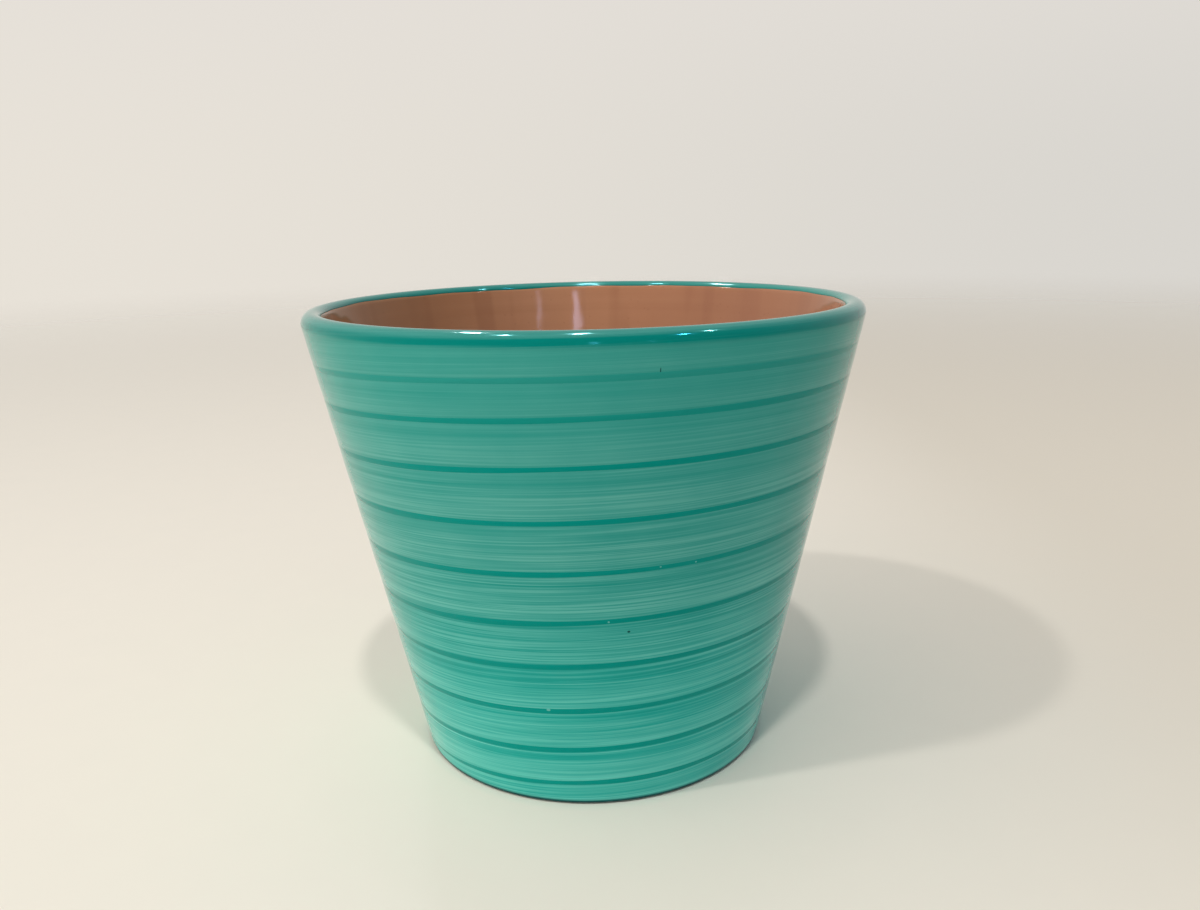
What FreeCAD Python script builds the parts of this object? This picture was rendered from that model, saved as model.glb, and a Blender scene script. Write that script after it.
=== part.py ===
import FreeCAD, Part
import math
import os

# A tapered earthenware cachepot: a fired clay pot, a turquoise glaze coat on its outside and lip,
# a deeper glaze line that winds up the wall in the coat, and a clear glaze lining.
# Millimetres, +Z up. The origin is the middle of the foot, in the plane the pot stands on.

# Outer size of the glazed pot. The base is measured where the wall's line meets the table.
rim_diameter = 150.0
pot_height = 124.0
base_diameter = 98.0

# Clay. The recess in the foot widens by the flare towards the floor's underside.
wall_thickness = 4.9
floor_thickness = 6.0
inner_corner_radius = 7.0
foot_edge_radius = 1.0
foot_ring_width = 6.0
foot_recess_depth = 2.5
foot_recess_flare = 1.5

# Glazes. The outer coat starts a little above the table and laps over the lip, down to the lap
# depth below the lip's top. The clear lining goes on from there.
outer_coat = 0.5
lining_coat = 0.35
foot_gap = 0.4
lap_depth = 1.4

# Glaze line. It is laid in a groove in the outer coat, and its ends narrow over the taper turns.
# It sways as it winds: at the back it hangs by the sway below an even rise from front to front.
line_width = 1.6
line_end_width = 0.5
line_depth = 0.3
line_sway = 5.4

# Height of the line at the front of the pot at each turn, as shares of the pot's height. The first
# and the last lie beyond the ends of the line, which are given in turns from the first.
line_height_shares = (-0.030, 0.056, 0.143, 0.240, 0.343, 0.442, 0.550, 0.653, 0.757, 0.850, 0.920, 0.982)
start_turns = 0.77
end_turns = 10.55
taper_turns = 0.15
spans_per_turn = 4
points_per_span = 8

# How far cutting shapes run past what they cut
overrun = 0.5

UP = FreeCAD.Vector(0, 0, 1)
ORIGIN = FreeCAD.Vector(0, 0, 0)

# Section of the wall. Its middle line ends in the centre of the round lip. `across` points out of
# the wall, square to its faces, and `along` points up it.
half_wall = wall_thickness / 2
lip = FreeCAD.Vector(rim_diameter / 2 - outer_coat - half_wall, 0, pot_height - outer_coat - half_wall)
base_to_lip = FreeCAD.Vector(lip.x - base_diameter / 2, 0, lip.z)
lean = math.atan2(base_to_lip.x, base_to_lip.z) + math.asin((half_wall + outer_coat) / base_to_lip.Length)
across = FreeCAD.Vector(math.cos(lean), 0, -math.sin(lean))
along = FreeCAD.Vector(math.sin(lean), 0, math.cos(lean))
floor_top = foot_recess_depth + floor_thickness


def wall_point(z, outward):
    """Point at height z on the wall face that stands `outward` from the wall's middle line."""
    return FreeCAD.Vector(lip.x + outward / math.cos(lean) + (z - lip.z) * math.tan(lean), 0, z)


def line(start, end):
    return Part.LineSegment(start, end).toShape()


def arc(centre, radius, start, end):
    """Arc about a centre from one direction to another, the short way round."""
    middle = (start + end).normalize()
    return Part.Arc(centre + start * radius, centre + middle * radius, centre + end * radius).toShape()


def revolve(edges):
    """Solid of revolution about Z of the closed outline that the edges make."""
    return Part.Face(Part.Wire(edges)).revolve(ORIGIN, UP, 360)


# Centres of the roundings at the foot's outer edge and in the corner between wall and floor
foot_edge = wall_point(foot_edge_radius, half_wall - foot_edge_radius)
corner = wall_point(floor_top + inner_corner_radius, -half_wall - inner_corner_radius)


def glazed_face(coat):
    """Edges along the pot's glazed surface, at a coat's thickness from the clay: from under the
    foot's edge up the outside, over the lip, down the inside and across the floor to its middle."""
    down = UP * -1
    edge_radius = foot_edge_radius + coat
    lip_radius = half_wall + coat
    corner_radius = inner_corner_radius - coat
    return [
        arc(foot_edge, edge_radius, down, across),
        line(foot_edge + across * edge_radius, lip + across * lip_radius),
        arc(lip, lip_radius, across, along),
        arc(lip, lip_radius, along, across * -1),
        line(lip - across * lip_radius, corner + across * corner_radius),
        arc(corner, corner_radius, across, down),
        line(corner + down * corner_radius, FreeCAD.Vector(0, 0, floor_top + coat)),
    ]


def make_clay_body():
    """Wall with a round lip, floor, and a foot ring round a shallow recess."""
    ring_outside = FreeCAD.Vector(foot_edge.x, 0, 0)
    ring_inside = FreeCAD.Vector(foot_edge.x - foot_ring_width, 0, 0)
    recess_edge = FreeCAD.Vector(ring_inside.x - foot_recess_flare, 0, foot_recess_depth)
    recess_middle = FreeCAD.Vector(0, 0, foot_recess_depth)
    underside = [
        line(FreeCAD.Vector(0, 0, floor_top), recess_middle),
        line(recess_middle, recess_edge),
        line(recess_edge, ring_inside),
        line(ring_inside, ring_outside),
    ]
    return revolve(glazed_face(0) + underside)


def make_skin(coat):
    """Glaze layer of one thickness over the whole glazed surface of the clay."""
    start = line(foot_edge - UP * foot_edge_radius, foot_edge - UP * (foot_edge_radius + coat))
    end = line(FreeCAD.Vector(0, 0, floor_top), FreeCAD.Vector(0, 0, floor_top + coat))
    return revolve([start] + glazed_face(coat) + [end] + glazed_face(0)[::-1])


def make_mouth_zone():
    """The space inside the middle of the wall, up to the edge of the lap."""
    top = pot_height - lap_depth
    return Part.makeCone(wall_point(0, 0).x, wall_point(top, 0).x, top)


def make_outer_coat():
    """Coat on the outside and the lip, cut off above the table and at the edge of the lap."""
    depth = outer_coat + overrun
    below_coat = Part.makeCylinder(rim_diameter, depth + foot_gap, UP * -depth)
    return make_skin(outer_coat).cut(make_mouth_zone()).cut(below_coat)


def make_lining():
    """Clear glaze from the edge of the lap down the wall, round the corner and across the floor."""
    return make_skin(lining_coat).common(make_mouth_zone())


def line_height(turns):
    """Height of the middle of the glaze line after a number of turns, counted at the front."""
    whole = math.floor(turns)
    share = turns - whole
    low_share, high_share = line_height_shares[whole:whole + 2]
    front_height = (low_share + (high_share - low_share) * share) * pot_height
    return front_height - line_sway * (1 - math.cos(2 * math.pi * turns)) / 2


def line_half_width(turns):
    """Half the width of the glaze line, which narrows smoothly towards its two ends."""
    share = min(turns - start_turns, end_turns - turns, taper_turns) / taper_turns
    smooth_share = share * share * (3 - 2 * share)
    return (line_end_width + (line_width - line_end_width) * smooth_share) / 2


def winding_edges(outward, side):
    """One edge of the line's cutter, span by span: its lower (-1) or upper (+1) edge, on the wall
    face that stands `outward` from the wall's middle line."""
    count = math.ceil((end_turns - start_turns) * spans_per_turn) * points_per_span
    points = []
    for step in range(count + 1):
        turns = start_turns + (end_turns - start_turns) * step / count
        point = wall_point(line_height(turns) + side * line_half_width(turns), outward)
        angle = 2 * math.pi * turns
        points.append(FreeCAD.Vector(point.x * math.sin(angle), -point.x * math.cos(angle), point.z))
    curve = Part.BSplineCurve()
    curve.interpolate(points)
    ends = [curve.parameter(point) for point in points[::points_per_span]]
    return [curve.toShape(start, end) for start, end in zip(ends, ends[1:])]


def make_line_cutter():
    """Ribbon with a four-sided section that winds up the wall, through the coat's outer face."""
    inner = half_wall + outer_coat - line_depth
    outer = half_wall + outer_coat + overrun
    corners = ((inner, -1), (outer, -1), (outer, 1), (inner, 1))
    edges = [winding_edges(outward, side) for outward, side in corners]
    faces = []
    for edge, next_edge in zip(edges, edges[1:] + edges[:1]):
        faces += [Part.makeRuledSurface(span, next_span) for span, next_span in zip(edge, next_edge)]
    for end in (0, -1):
        points = [edge[end].Vertexes[end].Point for edge in edges]
        faces.append(Part.Face(Part.makePolygon(points + points[:1])))
    shell = Part.makeShell(faces)
    shell.sewShape()
    cutter = Part.makeSolid(shell)
    if cutter.Volume < 0:
        cutter.reverse()
    return cutter


def save(name, shape):
    shape.exportStep(os.path.join("parts", name + ".step"))
    print(name, "valid", shape.isValid(), "solids", len(shape.Solids), "volume %.1f" % shape.Volume)


os.makedirs("parts", exist_ok=True)
coat = make_outer_coat()
line_cutter = make_line_cutter()
save("clay_body", make_clay_body())
save("outer_glaze", coat.cut(line_cutter))
save("spiral_line", coat.common(line_cutter))
save("inner_glaze", make_lining())
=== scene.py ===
import math

import bmesh
import bpy
import numpy as np
from bpy.props import FloatProperty, FloatVectorProperty, PointerProperty
from mathutils import Matrix, Vector


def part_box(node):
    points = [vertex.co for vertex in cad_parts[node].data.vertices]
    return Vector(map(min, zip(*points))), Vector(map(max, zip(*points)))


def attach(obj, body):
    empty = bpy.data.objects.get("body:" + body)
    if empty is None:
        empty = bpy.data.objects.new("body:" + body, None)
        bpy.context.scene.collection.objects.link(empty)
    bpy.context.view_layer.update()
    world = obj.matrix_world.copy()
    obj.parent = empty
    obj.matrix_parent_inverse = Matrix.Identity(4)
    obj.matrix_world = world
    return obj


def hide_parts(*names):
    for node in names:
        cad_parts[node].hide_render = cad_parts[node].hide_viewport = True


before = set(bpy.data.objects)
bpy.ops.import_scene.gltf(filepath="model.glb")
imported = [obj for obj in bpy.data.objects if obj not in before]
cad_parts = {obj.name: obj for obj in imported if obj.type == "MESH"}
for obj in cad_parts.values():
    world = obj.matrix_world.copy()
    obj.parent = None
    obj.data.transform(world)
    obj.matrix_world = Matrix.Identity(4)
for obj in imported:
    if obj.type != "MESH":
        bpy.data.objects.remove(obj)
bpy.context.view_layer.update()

bl_info = {
    "name": "Glazed Cachepot",
    "version": (1, 0, 0),
    "blender": (4, 5, 0),
    "location": "3D View > Sidebar > Cachepot",
    "description": "Models a tapered earthenware cachepot with a wound glaze line, around its packed frame",
    "category": "Mesh",
}

# Metres, +Z up. The origin is the middle of the foot, and the photographed side faces -Y.
MM = 0.001
FULL_TURN = 2 * math.pi

# Vertices nearer than WELD are merged, and a point nearer than TOUCH to a place counts as there
WELD = MM / 1000
TOUCH = MM / 100

# Steps round the pot, and up the outside of the glaze
SPIN_STEPS = 256
GLAZE_STEPS = 244

# Height of the glaze line at the front of the pot at each turn, as shares of the pot's height, and
# where the line begins and ends, in turns from the first. The frame's line is wound by the same values.
# The brush strokes between the turns go on over the lip.
LINE_HEIGHT_SHARES = (-0.030, 0.056, 0.143, 0.240, 0.343, 0.442, 0.550, 0.653, 0.757, 0.850, 0.920,
                      0.982, 1.060)
START_TURNS = 0.77
END_TURNS = 10.55
TAPER_TURNS = 0.15

# The unsteady brush, as (size, waves per turn, phase): the size is a share of one turn's rise for the
# line's height, and a share of its width for its width
LINE_WAVERS = ((0.012, 1.7, 0.4), (0.005, 4.3, 2.1))
WIDTH_WAVERS = ((0.1, 3.1, 0.0), (0.08, 7.7, 1.3))

# How the lap's edge wanders, as (share of the waver, waves round the pot, phase), and how far from the
# edge, as angles about the lip's centre, the lip moves with it and the coat thins towards it
LAP_WAVERS = ((0.35, 2, 0.6), (0.3, 5, 2.2), (0.22, 11, 0.9), (0.13, 23, 4.0))
LAP_WAVER_REACH = math.radians(28)
LAP_THINNING = math.radians(14)

# Distance between two turns of the line up the wall, in mm, as the sum of two ramps: (two shares of
# the height, values at the two). The turns widen low down and draw together under the lip.
PITCH_RISE = (0.03, 0.16, 10.7, 12.7)
PITCH_FALL = (0.78, 0.93, 0.0, -4.0)

# Small marks of the firing: (degrees round from the front, height, width and height of the mark, in mm)
DARK_MARKS = ((8.9, 52.0, 0.75, 0.6), (-19.8, 41.5, 0.5, 0.4), (12.8, 115.2, 0.25, 1.5))
PALE_MARKS = ((-10.8, 29.7, 1.0, 0.7), (15.2, 68.6, 0.45, 0.4), (23.1, 68.6, 0.45, 0.4),
              (4.4, 55.0, 0.5, 0.5))

# How far the glaze draws in at the line, as a share of how far it swells between its turns
CREASE_SHARE = 0.6

# Gloss of the glazes. The coloured ones mirror little red.
GLOSS_ROUGHNESS = 0.08
GLAZE_TINT = (0.15, 0.9, 1.0, 1.0)

# Floor radius, where painted shade darkens the floor's right side, and where the floor fades, as multiples
# of the rim's radius
FLOOR_RADIUS = 36
FLOOR_PAINTED_SHADE = (0.8, 3.333)
FLOOR_FADE = (4.0, 29.333)

# Soft light of the world: (towards, colour), and its backdrop's screen colours at the left, at the
# right, overhead and in front
WORLD_LIGHT = (
    ((-1.0, 0.0, 0.25), (0.79, 0.74, 0.69)),
    ((-1.0, -0.4, 0.0), (1.56, 1.43, 1.32)),
    ((0.0, -1.0, 0.25), (0.50, 0.53, 0.56)),
    ((1.0, 0.0, 0.25), (0.27, 0.42, 0.52)),
    ((0.0, 1.0, 0.25), (1.0, 1.0, 1.0)),
)
BACKDROP_COLOURS = ((232, 226, 216), (216, 213, 207), (228, 223, 217), (200, 198, 194))

# Lamps, as (name, towards, power in watts, and a glint's colour or a strip's width), and their
# distances and sizes in metres
LIGHTS = (
    ("key_lamp", (-0.50, -0.35, 0.79), 6.2),
    ("front_lamp", (0.0, -0.39, 0.92), 7.9),
)
GLINTS = (
    ("glint_lamp_1", (-0.295, 0.441, 0.847), 12.0, (1.0, 1.0, 1.0)),
    ("glint_lamp_2", (-0.296, 0.007, 0.955), 9.0, (1.0, 1.0, 1.0)),
    ("glint_lamp_3", (-0.018, 0.096, 0.995), 14.0, (1.0, 1.0, 1.0)),
    ("glint_lamp_4", (0.489, -0.441, 0.753), 6.0, (0.3, 0.62, 1.0)),
    ("glint_lamp_5", (0.518, -0.127, 0.846), 5.0, (1.0, 1.0, 1.0)),
)
STRIPS = (
    ("strip_lamp_1", (0.07, -0.96, 0.26), 1.4, 0.09),
    ("strip_lamp_2", (0.41, -0.87, 0.26), 0.3, 0.02),
)
LAMP_AIM = Vector((0, 0, 0.06))
LAMP_DISTANCE = 1.7
GLINT_DISTANCE = 1.5
LIGHT_SIZE = 0.09
GLINT_SIZE = 0.08
STRIP_LENGTH = 0.5
STRIP_COLOUR = (0.74, 0.7, 1.0)

# Camera: place in metres, downward pitch and roll, lens and sensor width in mm, near clip in metres
CAMERA_PLACE = (0.0035, -0.2727, 0.1471)
CAMERA_PITCH = math.radians(13.84)
CAMERA_ROLL = math.radians(-1.25)
CAMERA_LENS = 29.55
SENSOR_WIDTH = 36
NEAR_CLIP = 0.01


def screen_colour(red, green, blue):
    """Scene-linear colour, with alpha, of a screen colour given in steps of 0 to 255."""
    def linear(step):
        share = step / 255
        return share / 12.92 if share <= 0.04045 else ((share + 0.055) / 1.055) ** 2.4
    return (linear(red), linear(green), linear(blue), 1.0)


def length(name, description, millimetres):
    return FloatProperty(name=name, description=description, default=millimetres * MM, min=0.0,
                         unit="LENGTH", subtype="DISTANCE", precision=5)


def swatch(name, description, red, green, blue):
    return FloatVectorProperty(name=name, description=description, size=4, min=0.0, max=1.0,
                               default=screen_colour(red, green, blue), subtype="COLOR")


class CachepotSizes(bpy.types.PropertyGroup):
    """Sizes of the pot that the frame's boxes don't give"""
    wall_thickness: length("Wall", "Thickness of the fired clay wall", 4.9)
    floor_thickness: length("Floor", "Thickness of the clay floor", 6.0)
    inner_corner_radius: length("Inner corner", "Rounding between wall and floor", 7.0)
    foot_edge_radius: length("Foot edge", "Rounding of the foot's outer edge", 1.0)
    foot_ring_width: length("Foot ring", "Width of the flat ring the pot stands on", 6.0)
    foot_recess_depth: length("Foot recess", "Depth of the recess in the foot", 2.5)
    foot_recess_flare: length("Recess flare", "How much the recess widens", 1.5)
    foot_bevel: length("Foot bevel", "Softening of the foot ring's inner edges", 0.35)
    outer_coat: length("Outer glaze", "Thickness of the coloured glaze", 0.5)
    lining_coat: length("Lining", "Thickness of the clear glaze inside", 0.35)
    foot_gap: length("Foot gap", "Height of the coloured glaze above the table", 0.4)
    lap_depth: length("Lap", "Depth of the coloured glaze inside the mouth", 1.4)
    lap_waver: length("Lap waver", "How far the lap's edge wanders up and down", 0.45)
    band_swell: length("Band swell", "How far each band stands out between two lines", 0.10)
    swell_foot_fade: length("Swell above foot", "Height over which the swell grows", 8.0)
    swell_lip_fade: length("Swell below lip", "Height over which the swell fades", 9.0)
    line_width: length("Line", "Width of the glaze line", 1.6)
    line_end_width: length("Line ends", "Width of the glaze line at its two ends", 0.5)
    line_sway: length("Line sway", "How far the line hangs at the back of the pot", 5.4)
    line_body: length("Line thickness", "Thickness of the glaze line", 0.16)
    line_crown: length("Line crown", "How far the line's middle stands out", 0.03)
    line_sink: length("Line sink", "How far the line's edges sink into the glaze", 0.02)


class CachepotColours(bpy.types.PropertyGroup):
    """Colours of the glazes and the clay"""
    thin_glaze: swatch("Thin glaze", "Where the brush left little glaze", 106, 203, 189)
    full_glaze: swatch("Full glaze", "Where the glaze covers well", 34, 161, 149)
    # The upper glazes are partly milkier glaze and partly a painted pale reflection on the upper wall
    upper_thin_glaze_and_painted_sheen: swatch("Upper thin glaze", "Milkier thin glaze near the lip", 133, 203, 189)
    upper_full_glaze_and_painted_sheen: swatch("Upper full glaze", "Milkier full glaze near the lip", 68, 161, 149)
    line_glaze: swatch("Line glaze", "Where the glaze pooled in the line", 0, 141, 129)
    # Painted contact shadow at the glaze's lowest edge by the foot
    painted_foot_shadow: swatch("Foot glaze", "The dark edge of the glaze at the foot", 2, 44, 48)
    # Painted shade, partly real: darkens the glaze up the wall, partly for its fuller, cloudier cover and
    # partly for the weaker light bounced from the floor higher up
    shade: swatch("Shade", "Darkens the glazes from the foot up", 235, 235, 235)
    # Painted shade: darkens the glaze over the lip
    painted_lip_shade: swatch("Lip shade", "Darkens the glaze on the lip", 226, 226, 226)
    pale_mark: swatch("Pale mark", "Pinholes in the glaze", 150, 205, 196)
    line_mark: swatch("Line mark", "Pinholes in the line", 120, 190, 180)
    dark_mark: swatch("Dark mark", "Specks in the glaze", 10, 40, 42)
    lining_clay: swatch("Lining", "Clay under the clear glaze", 177, 125, 91)
    lining_cloud: swatch("Lining cloud", "Darker clouds in the lining", 150, 98, 68)
    lining_pour: swatch("Lining pour", "Streaks of the pour in the lining", 142, 92, 66)
    # Painted shade: the lining duller towards the right, and darker and browner towards the left
    painted_lining_right_shade: swatch("Lining right", "Duller right side of the lining", 146, 100, 76)
    painted_lining_left_shade: swatch("Lining left", "Browner left side of the lining", 158, 100, 50)
    lining_grain: swatch("Lining grain", "Dark grains under the lining", 96, 60, 44)
    bare_clay: swatch("Bare clay", "Unglazed clay of the foot", 196, 146, 112)
    clay_cloud: swatch("Clay cloud", "Darker clouds in the bare clay", 170, 112, 82)
    clay_grain: swatch("Clay grain", "Dark grains in the bare clay", 104, 66, 48)
    # Painted shadow at the foot's outer edge
    painted_foot_edge_shadow: swatch("Clay stain", "Dark stain at the foot's outer edge", 40, 52, 50)
    floor: swatch("Floor", "Plain pale studio floor", 229, 220, 206)
    # Painted shade on the floor's right side
    painted_floor_shade: swatch("Floor aside", "Duller right side of the floor", 214, 204, 188)
    floor_mottle: swatch("Floor mottle", "Faint clouds on the floor", 208, 204, 194)
    # Painted light: green bounced from the glaze onto the floor round the foot
    painted_floor_bounce: swatch("Floor at the foot", "Greenish floor close round the foot", 212, 227, 211)


class PotShape:
    """The pot's section in the XZ plane, worked out from the frame and the sizes."""

    def __init__(self, sizes):
        coat_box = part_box("outer_glaze")
        self.height = coat_box[1].z
        self.rim_radius = coat_box[1].x
        self.half_wall = sizes.wall_thickness / 2
        self.floor_top = sizes.foot_recess_depth + sizes.floor_thickness
        inset = sizes.outer_coat + self.half_wall
        self.lip = Vector((self.rim_radius - inset, 0, self.height - inset))
        foot_radius = max(v.co.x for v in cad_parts["clay_body"].data.vertices if v.co.z < TOUCH)
        self.foot_edge = Vector((foot_radius, 0, sizes.foot_edge_radius))
        rise = self.lip - self.foot_edge
        self.lean = math.atan2(rise.x, rise.z)
        self.lean += math.asin((self.half_wall - sizes.foot_edge_radius) / rise.length)
        self.across = Vector((math.cos(self.lean), 0, -math.sin(self.lean)))
        self.corner = self.wall_point(self.floor_top + sizes.inner_corner_radius,
                                      -self.half_wall - sizes.inner_corner_radius)

    def wall_point(self, height, outward):
        """Point at that height on the wall face `outward` from the wall's middle line."""
        radius = self.lip.x + outward / math.cos(self.lean) + (height - self.lip.z) * math.tan(self.lean)
        return Vector((radius, 0, height))

    def outward(self, radius, height):
        """Distance out from the wall's middle line of points at those radii and heights."""
        middle = self.lip.x + (height - self.lip.z) * math.tan(self.lean)
        return (radius - middle) * math.cos(self.lean)


def direction(angle):
    """Direction in the section, from +X towards +Z."""
    return Vector((math.cos(angle), 0, math.sin(angle)))


class SectionPen:
    """Draws a closed section in the XZ plane with one vertex, and sweeps it round the pot's axis."""

    def __init__(self, name, start):
        bpy.ops.object.select_all(action="DESELECT")
        bpy.ops.mesh.primitive_plane_add(size=MM)
        self.piece = bpy.context.object
        self.piece.name = self.piece.data.name = name
        bpy.ops.object.mode_set(mode="EDIT")
        bpy.ops.mesh.select_mode(type="VERT")
        bpy.ops.mesh.select_all(action="SELECT")
        bpy.ops.mesh.merge(type="CENTER")
        bpy.ops.transform.translate(value=start)
        self.start = start.copy()
        self.at = start.copy()

    def line(self, end, steps=1):
        """Extrudes the vertex straight to a point in equal steps."""
        stride = (end - self.at) / steps
        for _ in range(steps):
            bpy.ops.mesh.extrude_vertices_move(TRANSFORM_OT_translate={"value": stride})
        self.at = end.copy()

    def arc(self, centre, turn, steps):
        """Spins the vertex about a centre, by an angle from +X towards +Z."""
        bpy.ops.mesh.spin(steps=steps, angle=turn, center=centre, axis=(0, 1, 0))
        self.at = centre + Matrix.Rotation(-turn, 3, "Y") @ (self.at - centre)

    def sweep(self):
        """Spins the section round the pot's axis, and closes it first unless it starts there."""
        if self.start.x > 0:
            self.line(self.start)
        bpy.ops.mesh.select_all(action="SELECT")
        bpy.ops.mesh.remove_doubles(threshold=WELD)
        bpy.ops.mesh.spin(steps=SPIN_STEPS, angle=FULL_TURN, center=(0, 0, 0), axis=(0, 0, 1))
        bpy.ops.mesh.select_all(action="SELECT")
        bpy.ops.mesh.remove_doubles(threshold=WELD)
        bpy.ops.mesh.normals_make_consistent(inside=False)
        bpy.ops.object.mode_set(mode="OBJECT")
        bpy.ops.object.shade_smooth()
        return self.piece


def vertex_places(piece):
    places = np.empty(len(piece.data.vertices) * 3)
    piece.data.vertices.foreach_get("co", places)
    return places.reshape(-1, 3)


def move_vertices(piece, places):
    piece.data.vertices.foreach_set("co", np.ascontiguousarray(places, np.float32).ravel())
    piece.data.update()


def ease(share):
    """Smooth rise from 0 to 1."""
    share = np.clip(share, 0, 1)
    return share * share * (3 - 2 * share)


def waver(turns, wavers):
    return sum(size * np.sin(FULL_TURN * waves * turns + phase) for size, waves, phase in wavers)


def line_height(turns, azimuth_turns, shape, sizes):
    """Height where a stroke that is that many turns up crosses an azimuth, with the brush's waver."""
    steady = turns.copy()
    for _ in range(6):
        steady = turns - waver(steady, LINE_WAVERS)
    share = np.interp(steady, range(len(LINE_HEIGHT_SHARES)), LINE_HEIGHT_SHARES)
    return share * shape.height - sizes.line_sway * (1 - np.cos(FULL_TURN * azimuth_turns)) / 2


def turns_at(azimuth_turns, height, shape, sizes):
    """Turns from the line's first front, less the azimuth: whole numbers are on the line."""
    front_height = height + sizes.line_sway * (1 - np.cos(FULL_TURN * azimuth_turns)) / 2
    rise = np.interp(front_height / shape.height, LINE_HEIGHT_SHARES, range(len(LINE_HEIGHT_SHARES)))
    return rise + waver(rise, LINE_WAVERS) - azimuth_turns


def band_swell(winding, height, shape, sizes):
    """How far the glaze stands out between two turns of the line, or draws in at them, as a parabola
    that fades out at foot and lip."""
    share = winding - np.floor(winding)
    fade = ease(height / sizes.swell_foot_fade) * ease((shape.lip.z - height) / sizes.swell_lip_fade)
    return sizes.band_swell * (4 * share * (1 - share) - CREASE_SHARE) * fade


def finish_piece(piece, material, node):
    """Gives a piece its material and slot, and puts it in the frame in the node's place."""
    piece.data.materials.append(material)
    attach(piece, "root")
    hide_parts(node)


# Shader nodes

def link_or_set(tree, socket, value):
    if isinstance(value, bpy.types.NodeSocket):
        tree.links.new(value, socket)
    else:
        socket.default_value = value


def add_node(tree, kind, *values, **options):
    """Adds a shader node with its options, and fills its inputs in order with numbers or links."""
    node = tree.nodes.new("ShaderNode" + kind)
    for name, value in options.items():
        setattr(node, name, value)
    for socket, value in zip([s for s in node.inputs if s.enabled], values):
        link_or_set(tree, socket, value)
    return node


def calc(tree, operation, *values):
    return add_node(tree, "Math", *values, operation=operation).outputs[0]


def plus(tree, first, second):
    return calc(tree, "ADD", first, second)


def minus(tree, first, second):
    return calc(tree, "SUBTRACT", first, second)


def times(tree, first, second):
    return calc(tree, "MULTIPLY", first, second)


def distance_from(tree, value, middle):
    return calc(tree, "ABSOLUTE", minus(tree, value, middle))


def ramp(tree, value, low, high, start=0.0, end=1.0, smooth=True):
    """Maps a value from low..high to start..end, and holds the ends."""
    kind = "SMOOTHSTEP" if smooth else "LINEAR"
    return add_node(tree, "MapRange", value, low, high, start, end, interpolation_type=kind).outputs[0]


def blend(tree, share, first, second, mode="MIX"):
    return add_node(tree, "Mix", share, first, second, data_type="RGBA", blend_type=mode).outputs[2]


def lay_over(tree, colour, *coats, mode="MIX"):
    """Lays each coat over the colour in turn, given as its share and its own colour."""
    for share, coat in coats:
        colour = blend(tree, share, colour, coat, mode)
    return colour


def noise(tree, vector, scale, detail):
    return add_node(tree, "TexNoise", vector, scale, detail).outputs[0]


def vector_calc(tree, operation, *values):
    return add_node(tree, "VectorMath", *values, operation=operation).outputs


def vector_of(tree, *values):
    return add_node(tree, "CombineXYZ", *values).outputs[0]


def object_place(tree):
    """Object coordinates as a vector, and its x, y and z."""
    place = add_node(tree, "TexCoord").outputs["Object"]
    return place, *add_node(tree, "SeparateXYZ", place).outputs


def azimuth_of(tree, x, y):
    """Angle round from the front, in radians."""
    return calc(tree, "ARCTAN2", x, times(tree, y, -1.0))


def radius_of(tree, x, y):
    return calc(tree, "SQRT", plus(tree, times(tree, x, x), times(tree, y, y)))


def new_group(name, inputs, outputs):
    """Node group with (name, default) number inputs and number outputs."""
    group = bpy.data.node_groups.new(name, "ShaderNodeTree")
    for label, default in inputs:
        socket = group.interface.new_socket(name=label, in_out="INPUT", socket_type="NodeSocketFloat")
        socket.default_value = default
    for label in outputs:
        group.interface.new_socket(name=label, in_out="OUTPUT", socket_type="NodeSocketFloat")
    return group, group.nodes.new("NodeGroupInput").outputs, group.nodes.new("NodeGroupOutput").inputs


def link_outputs(group, end, **values):
    for label, value in values.items():
        group.links.new(value, end[label.replace("_", " ")])


def place_group(tree, name, **values):
    node = add_node(tree, "Group", node_tree=bpy.data.node_groups[name])
    for label, value in values.items():
        link_or_set(tree, node.inputs[label.replace("_", " ")], value)
    return node.outputs


def new_material(name):
    """Material with a Principled shader, which is returned with its tree."""
    material = bpy.data.materials.new(name)
    material.use_nodes = True
    tree = material.node_tree
    return material, tree, tree.nodes["Principled BSDF"]


def winding_group(shape, sizes):
    """Where a point lies in the wound brush stroke: how far up between two turns of the line, how
    far along the stroke in turns, and how many millimetres from the turns above and below it."""
    group, start, end = new_group("Brush Winding", (), ("Across", "Along", "Above Line", "Below Line"))
    place, x, y, z = object_place(group)
    azimuth = calc(group, "DIVIDE", azimuth_of(group, x, y), FULL_TURN)
    cosine = calc(group, "COSINE", times(group, azimuth, FULL_TURN))
    hang = times(group, minus(group, 1.0, cosine), sizes.line_sway / 2)
    share = calc(group, "DIVIDE", plus(group, z, hang), shape.height)
    rise = 0.0
    for low, high in zip(LINE_HEIGHT_SHARES, LINE_HEIGHT_SHARES[1:]):
        rise = plus(group, rise, ramp(group, share, low, high, smooth=False))
    winding = minus(group, rise, azimuth)
    for size, waves, phase in LINE_WAVERS:
        wave = calc(group, "SINE", calc(group, "MULTIPLY_ADD", rise, FULL_TURN * waves, phase))
        winding = calc(group, "MULTIPLY_ADD", wave, size, winding)
    whole = calc(group, "FLOOR", winding)
    across = minus(group, winding, whole)
    along = plus(group, azimuth, whole)
    pitch = plus(group, ramp(group, share, *PITCH_RISE), ramp(group, share, *PITCH_FALL))
    above = times(group, across, pitch)
    below = minus(group, pitch, above)
    link_outputs(group, end, Across=across, Along=along, Above_Line=above, Below_Line=below)
    return group


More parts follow.
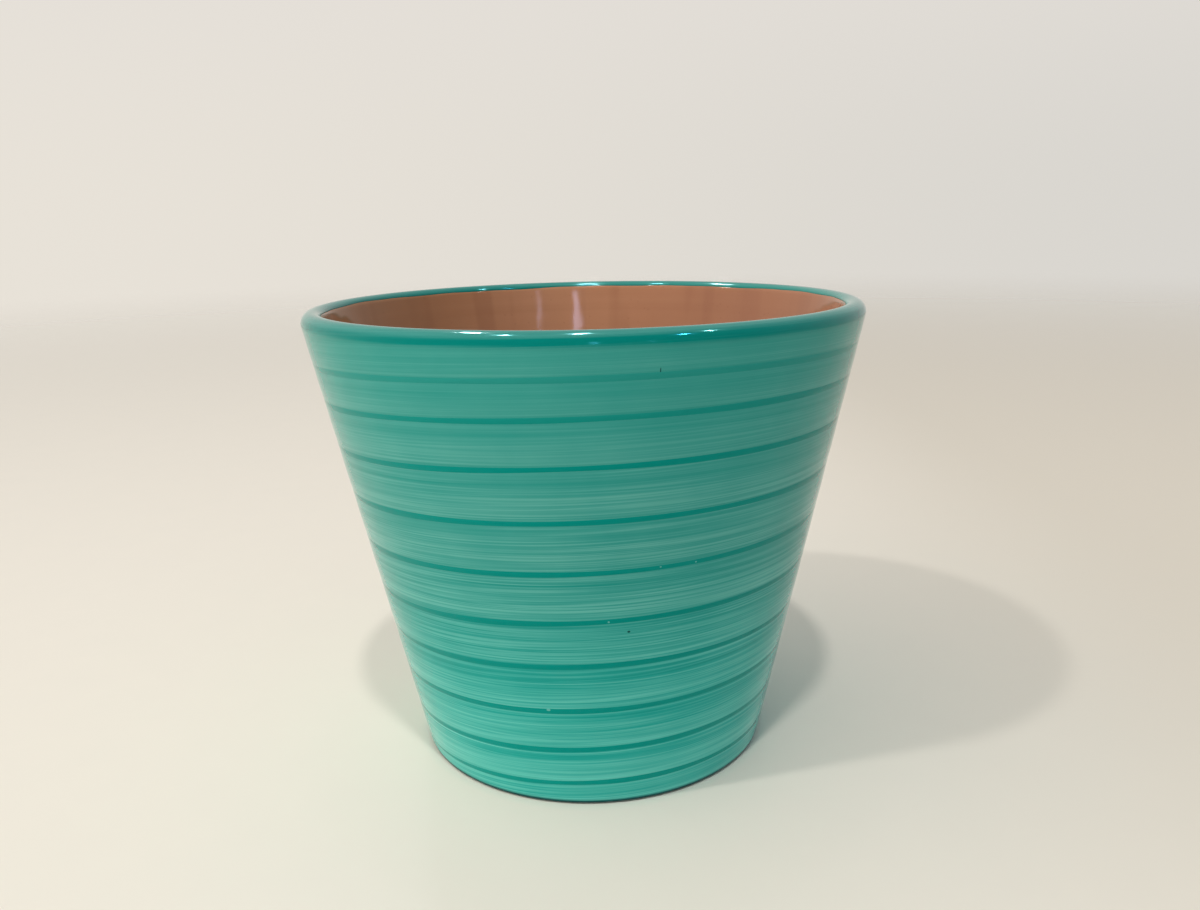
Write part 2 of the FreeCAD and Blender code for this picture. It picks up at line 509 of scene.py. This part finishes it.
def brush_group():
    """Streaks that a wide brush leaves along its stroke, from broad uneven cover to single bristles."""
    group, start, end = new_group("Brush Streaks", (
        ("Across", 0.0), ("Along", 0.0)), ("Broad", "Fine", "Hair"))
    # Streaks across one turn's rise and along one turn, and the noise's range that shows
    layers = (
        ("Broad", 4.2, 1.4, 0.30, 0.70),
        ("Fine", 15.0, 2.4, 0.32, 0.68),
        ("Hair", 31.0, 7.5, 0.42, 0.64),
    )
    for label, widths, lengths, low, high in layers:
        across = times(group, start["Across"], widths)
        along = times(group, start["Along"], lengths)
        streak = noise(group, vector_of(group, across, along, widths), 1.0, 1.0)
        group.links.new(ramp(group, streak, low, high, smooth=False), end[label])
    return group


def mark_group():
    """A small round or tall mark at one place on the wall."""
    group, start, end = new_group("Firing Mark", (
        ("Azimuth", 0.0), ("Height", 0.0), ("Width", 1.0), ("Tall", 1.0)), ("Mask",))
    place, x, y, z = object_place(group)
    off = minus(group, azimuth_of(group, x, y), times(group, start["Azimuth"], math.radians(1)))
    aside = times(group, off, radius_of(group, x, y))
    aside = calc(group, "DIVIDE", aside, times(group, start["Width"], MM / 2))
    up = minus(group, z, times(group, start["Height"], MM))
    up = calc(group, "DIVIDE", up, times(group, start["Tall"], MM / 2))
    reach = plus(group, times(group, aside, aside), times(group, up, up))
    link_outputs(group, end, Mask=ramp(group, reach, 0.5, 1.3, 1.0, 0.0))
    return group


def ripple_group():
    """Height of a fired glaze's surface: long ripples and fine orange peel."""
    group, start, end = new_group("Glaze Ripple", (("Ripple", 1.0), ("Peel", 1.0)), ("Height",))
    place = object_place(group)[0]
    long_wave = times(group, noise(group, place, 90.0, 1.0), start["Ripple"])
    peel = times(group, noise(group, place, 900.0, 1.0), start["Peel"])
    link_outputs(group, end, Height=plus(group, long_wave, peel))
    return group


def clay_group():
    """Fired red clay: uneven body colour, dark grains, and turning marks round the axis."""
    group, start, end = new_group("Clay Body", (
        ("Turning Marks", 1.0), ("Grain Size", 0.6 * MM)), ("Shade", "Grain", "Height"))
    place, x, y, z = object_place(group)
    marks_per_metre = 420.0
    rings = vector_of(group, times(group, radius_of(group, x, y), marks_per_metre),
                      times(group, z, marks_per_metre), 0.0)
    turning = times(group, noise(group, rings, 1.0, 2.0), start["Turning Marks"])
    cloud = noise(group, place, 38.0, 3.0)
    fine = noise(group, place, 1600.0, 2.0)
    grain_scale = calc(group, "DIVIDE", 1.0, start["Grain Size"])
    cells = add_node(group, "TexVoronoi", place, grain_scale).outputs
    chance = add_node(group, "SeparateColor", cells["Color"]).outputs[0]
    near = ramp(group, cells["Distance"], 0.15, 0.4, 1.0, 0.0)
    grain = times(group, near, calc(group, "GREATER_THAN", chance, 0.93))
    shade = plus(group, times(group, cloud, 0.6), times(group, turning, 0.4))
    height = plus(group, times(group, fine, 0.4), turning)
    link_outputs(group, end, Shade=shade, Grain=grain, Height=height)
    return group


def build_groups(shape, sizes):
    """Builds the shader node groups, unless they are there."""
    if "Brush Winding" not in bpy.data.node_groups:
        winding_group(shape, sizes)
        brush_group()
        mark_group()
        ripple_group()
        clay_group()


def bump(tree, shader, height, distance):
    node = add_node(tree, "Bump", 1.0, distance)
    tree.links.new(height, node.inputs["Height"])
    tree.links.new(node.outputs[0], shader.inputs["Normal"])


def marks(tree, places):
    """Mask of all the small marks at those places."""
    mask = 0.0
    for azimuth, height, width, tall in places:
        mark = place_group(tree, "Firing Mark", Azimuth=azimuth, Height=height, Width=width, Tall=tall)
        mask = calc(tree, "MAXIMUM", mask, mark["Mask"])
    return mask


def glossy(tree, shader, colour, level, ripple=1.0, peel=0.05, relief=0.0, depth=0.05 * MM):
    """A glaze's colour, gloss and rippled surface, with some added relief."""
    height = place_group(tree, "Glaze Ripple", Ripple=ripple, Peel=peel)["Height"]
    bump(tree, shader, plus(tree, height, relief), depth)
    tree.links.new(colour, shader.inputs["Base Color"])
    shader.inputs["Roughness"].default_value = GLOSS_ROUGHNESS
    shader.inputs["Specular IOR Level"].default_value = level


def turquoise_material(shape, sizes, colours):
    """Brushed turquoise glaze: pale and streaked low on the pot and just above each turn of the line,
    deeper under each turn and, partly with painted shade, towards the lip, pooled round the lip with
    painted shade there too, and darkened at the foot by painted contact shadow."""
    build_groups(shape, sizes)
    material, tree, shader = new_material("Turquoise Glaze")
    place, x, y, z = object_place(tree)
    share = calc(tree, "DIVIDE", z, shape.height)
    winding = place_group(tree, "Brush Winding")
    streaks = place_group(tree, "Brush Streaks", Across=winding["Across"], Along=winding["Along"])
    broad, fine, hair = streaks["Broad"], streaks["Fine"], streaks["Hair"]

    # How thin the glaze is: 0 where it pooled, 1 where the clay's slip shows through most. It starts
    # from the height, then come the slope between two turns, the bristles and a cloudy unevenness.
    thin = ramp(tree, share, 0.032, 0.952, 0.57, 0.31, smooth=False)
    thin = plus(tree, thin, ramp(tree, share, 0.048, 0.137, 0.09, 0.0))
    wander = calc(tree, "MULTIPLY_ADD", broad, 0.30, -0.15)
    slope = ramp(tree, plus(tree, winding["Across"], wander), 0.1, 0.95, 0.14, -0.10)
    thin = plus(tree, thin, times(tree, slope, ramp(tree, share, 0.161, 0.927, 1.0, 0.35)))
    bristles = minus(tree, plus(tree, times(tree, fine, 0.5), times(tree, hair, 0.7)), 0.53)
    thin = plus(tree, thin, times(tree, bristles, ramp(tree, share, 0.444, 0.887, 0.40, 0.12)))
    thin = plus(tree, thin, calc(tree, "MULTIPLY_ADD", noise(tree, place, 55.0, 2.0), 0.18, -0.09))

    # A second, weaker line and a pale hairline under each turn, a halo over it, and the pool on the lip,
    # which is partly glaze pooled there and partly painted shade
    second = ramp(tree, distance_from(tree, winding["Below Line"], 3.5), 0.15, 1.0, 0.19, 0.0)
    second = times(tree, times(tree, second, broad), ramp(tree, share, 0.766, 0.903, 1.0, 0.35))
    thin = minus(tree, thin, second)
    thin = minus(tree, thin, ramp(tree, winding["Above Line"], 0.75, 1.35, 0.14, 0.0))
    hairline = ramp(tree, distance_from(tree, winding["Below Line"], 1.15), 0.05, 0.3, 0.35, 0.0)
    hairline = times(tree, hairline, ramp(tree, broad, 0.5, 0.8))
    thin = plus(tree, thin, times(tree, hairline, ramp(tree, share, 0.323, 0.484, 1.0, 0.0)))
    # Partly glaze pooled round the lip and partly painted shade: this band is drawn as deep as the line
    lip_pool_and_painted_shade = distance_from(tree, z, shape.lip.z + 0.75 * MM)
    thin = minus(tree, thin, ramp(tree, lip_pool_and_painted_shade, 0.3 * MM, 1.4 * MM, 0.31, 0.0))

    # Milkier glaze near the lip, partly a painted reflection
    milk_and_painted_sheen = ramp(tree, share, 0.258, 0.629)
    full_glaze = blend(tree, milk_and_painted_sheen, colours.full_glaze, colours.upper_full_glaze_and_painted_sheen)
    thin_glaze = blend(tree, milk_and_painted_sheen, colours.thin_glaze, colours.upper_thin_glaze_and_painted_sheen)
    glaze = blend(tree, ramp(tree, thin, 0.0, 0.35, smooth=False), colours.line_glaze, full_glaze)
    glaze = blend(tree, ramp(tree, thin, 0.35, 1.0, smooth=False), glaze, thin_glaze)
    pale = times(tree, marks(tree, PALE_MARKS), 0.5)
    dark = times(tree, marks(tree, DARK_MARKS), 0.85)
    glaze = lay_over(tree, glaze, (pale, colours.pale_mark), (dark, colours.dark_mark))
    # Painted shade up the wall, partly for the fuller glaze there and partly for less light bounced from
    # the floor
    low = ramp(tree, share, 0.0, 0.484)
    # Painted shade over the lip
    on_lip = ramp(tree, z, shape.lip.z - 1.55 * MM, shape.lip.z + 0.95 * MM)
    glaze = lay_over(tree, glaze, (low, colours.shade), (on_lip, colours.painted_lip_shade), mode="MULTIPLY")
    # Painted contact shadow: the glaze turns dark just above the table
    glaze = blend(tree, ramp(tree, z, 0.8 * MM, 1.7 * MM, 0.95, 0.0), glaze, colours.painted_foot_shadow)
    glossy(tree, shader, glaze, 0.25, relief=times(tree, fine, 0.05))
    shader.inputs["Specular Tint"].default_value = GLAZE_TINT
    return material


def line_material(shape, sizes, colours):
    """Deep turquoise glaze that pooled in the wound line."""
    build_groups(shape, sizes)
    material, tree, shader = new_material("Deep Turquoise Glaze")
    winding = place_group(tree, "Brush Winding")
    streaks = place_group(tree, "Brush Streaks", Across=winding["Across"], Along=winding["Along"])
    place, x, y, z = object_place(tree)
    share = calc(tree, "DIVIDE", z, shape.height)
    # Near the lip the line takes on the milkier glaze with its painted reflection
    glaze = lay_over(tree, colours.line_glaze, (times(tree, streaks["Fine"], 0.12), colours.full_glaze),
                     (ramp(tree, share, 0.806, 0.919, 0.0, 0.4), colours.upper_full_glaze_and_painted_sheen))
    # Painted shade up the wall, as on the coat, partly for fuller glaze and partly for less bounced light
    glaze = blend(tree, ramp(tree, share, 0.0, 0.484), glaze, colours.shade, mode="MULTIPLY")
    glaze = blend(tree, times(tree, marks(tree, PALE_MARKS), 0.6), glaze, colours.line_mark)
    glossy(tree, shader, glaze, 0.15)
    shader.inputs["Specular Tint"].default_value = GLAZE_TINT
    return material


def lining_material(shape, sizes, colours):
    """Clear gloss glaze over red clay, with soft darker clouds and faint streaks of the pour, and painted
    shade that dulls it towards the right and makes it darker and browner towards the left."""
    build_groups(shape, sizes)
    material, tree, shader = new_material("Clear Glaze On Clay")
    place, x, y, z = object_place(tree)
    aside = calc(tree, "DIVIDE", x, shape.rim_radius)
    clay = place_group(tree, "Clay Body", Turning_Marks=1.0, Grain_Size=1.1 * MM)
    shade = ramp(tree, clay["Shade"], 0.3, 0.7, 0.0, 0.35)
    # The pour runs down the wall, so its streaks are narrow round the pot and long in height
    pour = vector_of(tree, times(tree, azimuth_of(tree, x, y), 5.5), times(tree, z, 9.0), 0.0)
    pour = ramp(tree, noise(tree, pour, 1.0, 2.0), 0.5, 0.62, 0.0, 0.38)
    above_floor = ramp(tree, calc(tree, "DIVIDE", z, shape.height), 0.097, 0.363)
    # The right and left coats are painted shade
    colour = lay_over(tree, colours.lining_clay, (shade, colours.lining_cloud),
                      (times(tree, pour, above_floor), colours.lining_pour),
                      (ramp(tree, aside, 0.0, 0.733, 0.0, 0.7), colours.painted_lining_right_shade),
                      (ramp(tree, aside, -0.8, -0.2, 0.5, 0.0), colours.painted_lining_left_shade),
                      (times(tree, clay["Grain"], 0.12), colours.lining_grain))
    glossy(tree, shader, colour, 0.3, ripple=3.0, peel=0.08, depth=0.06 * MM)
    return material


def bare_clay_material(shape, sizes, colours):
    """Matt unglazed clay of the foot, wiped clean of glaze, with painted shadow darkening its outer edge.
    """
    build_groups(shape, sizes)
    material, tree, shader = new_material("Bare Red Clay")
    place, x, y, z = object_place(tree)
    clay = place_group(tree, "Clay Body", Turning_Marks=1.0, Grain_Size=0.7 * MM)
    shade = ramp(tree, clay["Shade"], 0.3, 0.7, 0.0, 0.6)
    foot_radius = shape.foot_edge.x
    # Painted shadow where the foot's edge curves in under the pot
    edge_shadow = ramp(tree, radius_of(tree, x, y), foot_radius - 0.6 * MM, foot_radius, 0.0, 0.9)
    colour = lay_over(tree, colours.bare_clay, (shade, colours.clay_cloud),
                      (times(tree, clay["Grain"], 0.7), colours.clay_grain), (edge_shadow, colours.painted_foot_edge_shadow))
    tree.links.new(colour, shader.inputs["Base Color"])
    tree.links.new(ramp(tree, clay["Shade"], 0.2, 0.8, 0.78, 0.92), shader.inputs["Roughness"])
    bump(tree, shader, clay["Height"], 0.15 * MM)
    return material


def floor_material(shape, colours):
    """Pale studio floor, with painted shade towards the right and painted green light bounced from the
    glaze close round the foot. It fades into the world far from the pot, can be looked through from below,
    and lets light through to the foot."""
    material, tree, shader = new_material("Studio Floor")
    place, x, y, z = object_place(tree)
    foot_radius = shape.foot_edge.x
    # Painted shade towards the floor's right
    aside = ramp(tree, x, *(share * shape.rim_radius for share in FLOOR_PAINTED_SHADE))
    mottle = times(tree, noise(tree, place, 60.0, 3.0), 0.12)
    distance = vector_calc(tree, "LENGTH", place)["Value"]
    # Painted green light bounced from the glaze, close round the foot
    bounce_ring = ramp(tree, distance, foot_radius, foot_radius + 5 * MM, 0.75, 0.0)
    colour = lay_over(tree, colours.floor, (aside, colours.painted_floor_shade), (mottle, colours.floor_mottle),
                      (bounce_ring, colours.painted_floor_bounce))
    tree.links.new(colour, shader.inputs["Base Color"])
    shader.inputs["Roughness"].default_value = 0.5
    shader.inputs["Specular IOR Level"].default_value = 0.2
    fade = ramp(tree, distance, *(share * shape.rim_radius for share in FLOOR_FADE))
    below = add_node(tree, "NewGeometry").outputs["Backfacing"]
    under_pot = calc(tree, "LESS_THAN", distance, foot_radius)
    clear = calc(tree, "MAXIMUM", calc(tree, "MAXIMUM", fade, below), under_pot)
    glass = add_node(tree, "BsdfTransparent").outputs[0]
    mix = add_node(tree, "MixShader", clear, shader.outputs[0], glass)
    tree.links.new(mix.outputs[0], tree.nodes["Material Output"].inputs["Surface"])
    return material


def settings():
    """The pot's shape, sizes and colours as the scene's properties hold them."""
    sizes = bpy.context.scene.cachepot_sizes
    return PotShape(sizes), sizes, bpy.context.scene.cachepot_colours


def lap_angle(shape, sizes, surface_radius):
    """Angle about the lip's centre, from +X towards +Z, where the coloured glaze ends inside."""
    return math.pi - math.asin((shape.height - sizes.lap_depth - shape.lip.z) / surface_radius)


def waver_lap(piece, shape, sizes):
    """Turns the rings near the lap's edge about the lip's centre, so that the edge wanders."""
    places = vertex_places(piece)
    azimuth = np.arctan2(places[:, 0], -places[:, 1])
    radius = np.hypot(places[:, 0], places[:, 1])
    off = np.stack([radius - shape.lip.x, places[:, 2] - shape.lip.z], 1)
    angle = np.arctan2(off[:, 1], off[:, 0])
    reach = np.hypot(off[:, 0], off[:, 1])
    lip_radius = shape.half_wall + sizes.outer_coat
    edge = lap_angle(shape, sizes, lip_radius)
    near = ease(1 - np.abs(angle - edge) / LAP_WAVER_REACH) * (reach < lip_radius + TOUCH)
    turned = angle + near * waver(azimuth / FULL_TURN, LAP_WAVERS) * sizes.lap_waver / lip_radius
    moved_radius = shape.lip.x + reach * np.cos(turned)
    scale = np.divide(moved_radius, radius, out=np.ones_like(radius), where=(near > 0))
    places[:, 0] *= scale
    places[:, 1] *= scale
    places[:, 2] = np.where(near > 0, shape.lip.z + reach * np.sin(turned), places[:, 2])
    move_vertices(piece, places)


class CACHEPOT_OT_clay_pot(bpy.types.Operator):
    """Models the fired clay pot: wall, round lip, floor, and a foot ring round a recess"""
    bl_idname = "cachepot.clay_pot"
    bl_label = "Clay Pot"

    def execute(self, context):
        shape, sizes, colours = settings()
        lean = shape.lean
        ring_inside = Vector((shape.foot_edge.x - sizes.foot_ring_width, 0, 0))
        recess_edge = Vector((ring_inside.x - sizes.foot_recess_flare, 0, sizes.foot_recess_depth))
        pen = SectionPen("clay_pot", Vector((0, 0, sizes.foot_recess_depth)))
        pen.line(recess_edge, steps=20)
        pen.line(ring_inside, steps=2)
        pen.line(Vector((shape.foot_edge.x, 0, 0)), steps=6)
        pen.arc(shape.foot_edge, math.pi / 2 - lean, steps=6)
        pen.line(shape.lip + shape.across * shape.half_wall, steps=30)
        pen.arc(shape.lip, math.pi, steps=24)
        pen.line(shape.corner + shape.across * sizes.inner_corner_radius, steps=30)
        pen.arc(shape.corner, lean - math.pi / 2, steps=8)
        pen.line(Vector((0, 0, shape.floor_top)), steps=20)
        piece = pen.sweep()
        self.soften_foot(piece, (ring_inside, recess_edge), sizes.foot_bevel)
        finish_piece(piece, bare_clay_material(shape, sizes, colours), "clay_body")
        return {"FINISHED"}

    def soften_foot(self, piece, corners, width):
        """Bevels the edge rings at those corners of the section."""
        bpy.ops.object.mode_set(mode="EDIT")
        bpy.ops.mesh.select_all(action="DESELECT")
        bpy.ops.mesh.select_mode(type="EDGE")
        mesh = bmesh.from_edit_mesh(piece.data)
        for edge in mesh.edges:
            for corner in corners:
                if all(math.hypot(math.hypot(v.co.x, v.co.y) - corner.x, v.co.z - corner.z) < TOUCH
                       for v in edge.verts):
                    edge.select_set(True)
        bmesh.update_edit_mesh(piece.data)
        bpy.ops.mesh.bevel(offset=width, segments=4)
        bpy.ops.object.mode_set(mode="OBJECT")
        bpy.ops.object.shade_smooth()


class CACHEPOT_OT_glaze_coat(bpy.types.Operator):
    """Models the turquoise glaze on the outside and the lip, swollen between the line's turns"""
    bl_idname = "cachepot.glaze_coat"
    bl_label = "Turquoise Glaze"

    def execute(self, context):
        shape, sizes, colours = settings()
        lean = shape.lean
        coat = sizes.outer_coat
        foot_radius = sizes.foot_edge_radius
        foot_angle = -math.asin((foot_radius - sizes.foot_gap - coat / 2) / (foot_radius + coat / 2))
        lap = lap_angle(shape, sizes, shape.half_wall + coat)
        pen = SectionPen("glaze_coat", shape.foot_edge + direction(foot_angle) * foot_radius)
        pen.arc(shape.foot_edge + direction(foot_angle) * (foot_radius + coat / 2), math.pi, steps=6)
        pen.arc(shape.foot_edge, -lean - foot_angle, steps=2)
        pen.line(shape.lip + shape.across * (shape.half_wall + coat), steps=GLAZE_STEPS)
        pen.arc(shape.lip, lap + lean, steps=30)
        pen.line(shape.lip + direction(lap) * shape.half_wall, steps=2)
        pen.arc(shape.lip, -lap - lean, steps=12)
        pen.line(shape.foot_edge + shape.across * foot_radius, steps=8)
        piece = pen.sweep()
        self.swell_bands(piece, shape, sizes)
        self.thin_lap(piece, shape, sizes)
        waver_lap(piece, shape, sizes)
        finish_piece(piece, turquoise_material(shape, sizes, colours), "outer_glaze")
        return {"FINISHED"}

    def swell_bands(self, piece, shape, sizes):
        """Moves the outer face out between the turns of the line, and in under them."""
        places = vertex_places(piece)
        radius = np.hypot(places[:, 0], places[:, 1])
        azimuth = np.arctan2(places[:, 0], -places[:, 1]) / FULL_TURN
        outer = shape.outward(radius, places[:, 2]) > shape.half_wall + sizes.outer_coat / 2
        outer &= places[:, 2] < shape.lip.z
        winding = turns_at(azimuth, places[:, 2], shape, sizes)
        swell = np.where(outer, band_swell(winding, places[:, 2], shape, sizes), 0)
        out = swell * math.cos(shape.lean) / radius
        places[:, 0] *= 1 + out
        places[:, 1] *= 1 + out
        places[:, 2] -= swell * math.sin(shape.lean)
        move_vertices(piece, places)

    def thin_lap(self, piece, shape, sizes):
        """Draws the coat in near the lap's edge, where it meets the thinner lining."""
        places = vertex_places(piece)
        radius = np.hypot(places[:, 0], places[:, 1])
        off_x, off_z = radius - shape.lip.x, places[:, 2] - shape.lip.z
        reach = np.hypot(off_x, off_z)
        edge = lap_angle(shape, sizes, shape.half_wall + sizes.outer_coat)
        near = ease((np.arctan2(off_z, off_x) - edge) / LAP_THINNING + 1) * (off_z > 0)
        depth = np.clip((reach - shape.half_wall) / sizes.outer_coat, 0, 1)
        drawn = reach - depth * near * (sizes.outer_coat - sizes.lining_coat)
        on_lip = reach < shape.half_wall * 2
        moved = np.where(on_lip, shape.lip.x + off_x * drawn / reach, radius)
        places[:, 0] *= moved / radius
        places[:, 1] *= moved / radius
        places[:, 2] = np.where(on_lip, shape.lip.z + off_z * drawn / reach, places[:, 2])
        move_vertices(piece, places)


class CACHEPOT_OT_brush_line(bpy.types.Operator):
    """Winds the deeper glaze line up the wall in the crease between the bands"""
    bl_idname = "cachepot.brush_line"
    bl_label = "Glaze Line"

    def execute(self, context):
        shape, sizes, colours = settings()
        turns = END_TURNS - START_TURNS
        bpy.ops.object.select_all(action="DESELECT")
        bpy.ops.mesh.primitive_grid_add(x_subdivisions=round(turns * SPIN_STEPS), y_subdivisions=6, size=1)
        piece = context.object
        piece.name = piece.data.name = "brush_line"
        self.wind(piece, shape, sizes)
        bpy.ops.object.mode_set(mode="EDIT")
        bpy.ops.mesh.select_all(action="SELECT")
        bpy.ops.mesh.normals_make_consistent(inside=False)
        bpy.ops.object.mode_set(mode="OBJECT")
        solid = piece.modifiers.new("Body", "SOLIDIFY")
        solid.thickness = sizes.line_body
        solid.offset = -1
        bpy.ops.object.modifier_apply(modifier=solid.name)
        bpy.ops.object.shade_smooth_by_angle(angle=math.radians(50))
        finish_piece(piece, line_material(shape, sizes, colours), "spiral_line")
        return {"FINISHED"}

    def wind(self, piece, shape, sizes):
        """Bends the flat ribbon round the wall and fits it over the crease between the bands."""
        places = vertex_places(piece)
        stroke = START_TURNS + (places[:, 0] + 0.5) * (END_TURNS - START_TURNS)
        side = places[:, 1] * 2
        to_end = np.minimum(stroke - START_TURNS, END_TURNS - stroke) / TAPER_TURNS
        width = sizes.line_end_width + (sizes.line_width - sizes.line_end_width) * ease(to_end)
        width *= 1 + waver(stroke, WIDTH_WAVERS)
        middle = line_height(stroke, stroke, shape, sizes)
        height = middle + side * width / 2 * math.cos(shape.lean)
        edge_winding = turns_at(stroke, middle + width / 2, shape, sizes)
        level = band_swell(edge_winding, middle, shape, sizes)
        level += sizes.line_crown * (1 - side ** 4) - sizes.line_sink * side ** 4
        section = shape.lip.x + (shape.half_wall + sizes.outer_coat + level) / math.cos(shape.lean)
        radius = section + (height - shape.lip.z) * math.tan(shape.lean)
        angle = stroke * FULL_TURN
        move_vertices(piece, np.stack([radius * np.sin(angle), -radius * np.cos(angle), height], 1))


class CACHEPOT_OT_clear_lining(bpy.types.Operator):
    """Models the clear glaze from the lap's edge down the inside and across the floor"""
    bl_idname = "cachepot.clear_lining"
    bl_label = "Clear Lining"

    def execute(self, context):
        shape, sizes, colours = settings()
        lean = shape.lean
        coat = sizes.lining_coat
        lap = lap_angle(shape, sizes, shape.half_wall + sizes.outer_coat)
        pen = SectionPen("clear_lining", Vector((0, 0, shape.floor_top + coat)))
        pen.line(Vector((shape.corner.x, 0, shape.floor_top + coat)), steps=24)
        pen.arc(shape.corner, math.pi / 2 - lean, steps=10)
        pen.line(shape.lip - shape.across * (shape.half_wall + coat), steps=60)
        pen.arc(shape.lip, lap + lean - math.pi, steps=8)
        pen.line(shape.lip + direction(lap) * shape.half_wall)
        pen.arc(shape.lip, math.pi - lap - lean, steps=8)
        pen.line(shape.corner + shape.across * sizes.inner_corner_radius, steps=8)
        pen.arc(shape.corner, lean - math.pi / 2, steps=8)
        pen.line(Vector((0, 0, shape.floor_top)), steps=24)
        piece = pen.sweep()
        waver_lap(piece, shape, sizes)
        finish_piece(piece, lining_material(shape, sizes, colours), "inner_glaze")
        return {"FINISHED"}


class CACHEPOT_OT_studio(bpy.types.Operator):
    """Sets up the pale floor, the soft lamps, the world and the camera at the photo's viewing angle"""
    bl_idname = "cachepot.studio"
    bl_label = "Studio"

    def execute(self, context):
        self.lay_floor()
        self.light_world(context.scene)
        self.hang_lamps()
        self.place_camera(context.scene)
        context.scene.view_settings.view_transform = "Standard"
        return {"FINISHED"}

    def lay_floor(self):
        """Round floor under the pot."""
        shape, sizes, colours = settings()
        bpy.ops.object.select_all(action="DESELECT")
        radius = shape.rim_radius * FLOOR_RADIUS
        bpy.ops.mesh.primitive_circle_add(vertices=96, radius=radius, fill_type="NGON")
        floor = bpy.context.object
        floor.name = "studio_floor"
        floor.data.materials.append(floor_material(shape, colours))

    def light_world(self, scene):
        """Soft light, warm from the left and cool from the right, and a pale backdrop, dimmer towards the
        front, for what the camera and the gloss see."""
        world = bpy.data.worlds.new("Studio World")
        scene.world = world
        world.use_nodes = True
        tree = world.node_tree
        towards = add_node(tree, "TexCoord").outputs["Generated"]
        x, y, z = add_node(tree, "SeparateXYZ", towards).outputs
        light = (0.0, 0.0, 0.0)
        for side, colour in WORLD_LIGHT:
            facing = vector_calc(tree, "DOT_PRODUCT", towards, Vector(side).normalized())["Value"]
            facing = calc(tree, "MAXIMUM", facing, 0.0)
            light = vector_calc(tree, "MULTIPLY_ADD", times(tree, facing, facing), colour, light)[0]
        left, right, overhead, front = (screen_colour(*steps) for steps in BACKDROP_COLOURS)
        backdrop = blend(tree, ramp(tree, x, -0.6, 0.7), left, right)
        backdrop = blend(tree, ramp(tree, z, 0.0, 0.35), backdrop, overhead)
        backdrop = blend(tree, ramp(tree, y, -0.55, 0.1), front, backdrop)
        light_path = add_node(tree, "LightPath").outputs
        seen = calc(tree, "MAXIMUM", light_path["Is Camera Ray"], light_path["Is Glossy Ray"])
        seen = calc(tree, "MAXIMUM", seen, light_path["Is Transmission Ray"])
        tree.links.new(blend(tree, seen, light, backdrop), tree.nodes["Background"].inputs["Color"])

    def hang_lamps(self):
        """Area lamps aimed at the middle of the pot. Two light it and cast its shadows, the small ones
        overhead give the glints on the lip, and two strips give the bright streaks in the mouth."""
        for name, towards, power in LIGHTS:
            light = self.hang_lamp(name, towards, LAMP_DISTANCE, LIGHT_SIZE, power)
            light.visible_glossy = False
        for name, towards, power, colour in GLINTS:
            glint = self.hang_lamp(name, towards, GLINT_DISTANCE, GLINT_SIZE, power)
            glint.data.color = colour
            glint.visible_diffuse = False
        for name, towards, power, width in STRIPS:
            strip = self.hang_lamp(name, towards, LAMP_DISTANCE, width, power)
            strip.data.shape = "RECTANGLE"
            strip.data.size_y = STRIP_LENGTH
            strip.data.color = STRIP_COLOUR
            strip.visible_diffuse = False

    def hang_lamp(self, name, towards, distance, size, power):
        place = LAMP_AIM + Vector(towards).normalized() * distance
        bpy.ops.object.light_add(type="AREA", location=place)
        lamp = bpy.context.object
        lamp.name = name
        lamp.rotation_mode = "QUATERNION"
        lamp.rotation_quaternion = (place - LAMP_AIM).to_track_quat("Z", "Y")
        lamp.data.shape = "DISK"
        lamp.data.size = size
        lamp.data.energy = power
        return lamp

    def place_camera(self, scene):
        """Camera a forearm's length from the pot, looking a little down on it."""
        forward = Vector((0, math.cos(CAMERA_PITCH), -math.sin(CAMERA_PITCH)))
        level = Vector((1, 0, 0))
        upright = level.cross(forward)
        right = level * math.cos(CAMERA_ROLL) + upright * math.sin(CAMERA_ROLL)
        up = upright * math.cos(CAMERA_ROLL) - level * math.sin(CAMERA_ROLL)
        data = bpy.data.cameras.new("photo_camera")
        data.lens = CAMERA_LENS
        data.sensor_width = SENSOR_WIDTH
        data.clip_start = NEAR_CLIP
        camera = bpy.data.objects.new("photo_camera", data)
        scene.collection.objects.link(camera)
        turned = Matrix((right, up, -forward)).transposed().to_4x4()
        camera.matrix_world = Matrix.Translation(CAMERA_PLACE) @ turned
        scene.camera = camera


class CACHEPOT_PT_sidebar(bpy.types.Panel):
    """Lists the steps, sizes and colours of the cachepot"""
    bl_idname = "CACHEPOT_PT_sidebar"
    bl_label = "Cachepot"
    bl_space_type = "VIEW_3D"
    bl_region_type = "UI"
    bl_category = "Cachepot"

    def draw(self, context):
        for operator in STEPS:
            self.layout.operator(operator.bl_idname)
        for group in (context.scene.cachepot_sizes, context.scene.cachepot_colours):
            column = self.layout.column()
            for name in type(group).__annotations__:
                column.prop(group, name)


STEPS = (
    CACHEPOT_OT_clay_pot,
    CACHEPOT_OT_glaze_coat,
    CACHEPOT_OT_brush_line,
    CACHEPOT_OT_clear_lining,
    CACHEPOT_OT_studio,
)
CLASSES = (CachepotSizes, CachepotColours) + STEPS + (CACHEPOT_PT_sidebar,)


def register():
    for each in CLASSES:
        bpy.utils.register_class(each)
    bpy.types.Scene.cachepot_sizes = PointerProperty(type=CachepotSizes)
    bpy.types.Scene.cachepot_colours = PointerProperty(type=CachepotColours)


def unregister():
    del bpy.types.Scene.cachepot_colours
    del bpy.types.Scene.cachepot_sizes
    for each in reversed(CLASSES):
        bpy.utils.unregister_class(each)


def main():
    register()
    bpy.ops.cachepot.clay_pot()
    bpy.ops.cachepot.glaze_coat()
    bpy.ops.cachepot.brush_line()
    bpy.ops.cachepot.clear_lining()
    bpy.ops.cachepot.studio()


if __name__ == "__main__":
    main()
